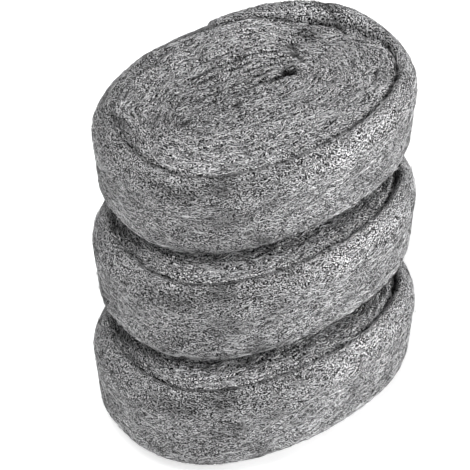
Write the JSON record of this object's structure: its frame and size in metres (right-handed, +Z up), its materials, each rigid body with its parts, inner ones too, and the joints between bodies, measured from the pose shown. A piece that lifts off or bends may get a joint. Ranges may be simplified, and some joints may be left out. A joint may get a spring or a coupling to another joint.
{
  "type": "steel wool bundle",
  "caption": "Stack of coiled steel wool strips, each wound into a flat oval roll, for scouring, polishing and blocking small gaps.",
  "frame": {"origin": "middle of the bundle's box, on the surface it stands on", "axes": "+Z up through the rolls, +X along the rolls' long side, +Y towards the back, where each strip's outer end lies"},
  "size_m": [0.2612, 0.2038, 0.2406],
  "materials": {
    "steel_wool": "dull grey steel fibre"
  },
  "bodies": {
    "root": {"roll_bottom": "steel_wool", "roll_middle": "steel_wool", "roll_top": "steel_wool"}
  },
  "joints": []
}
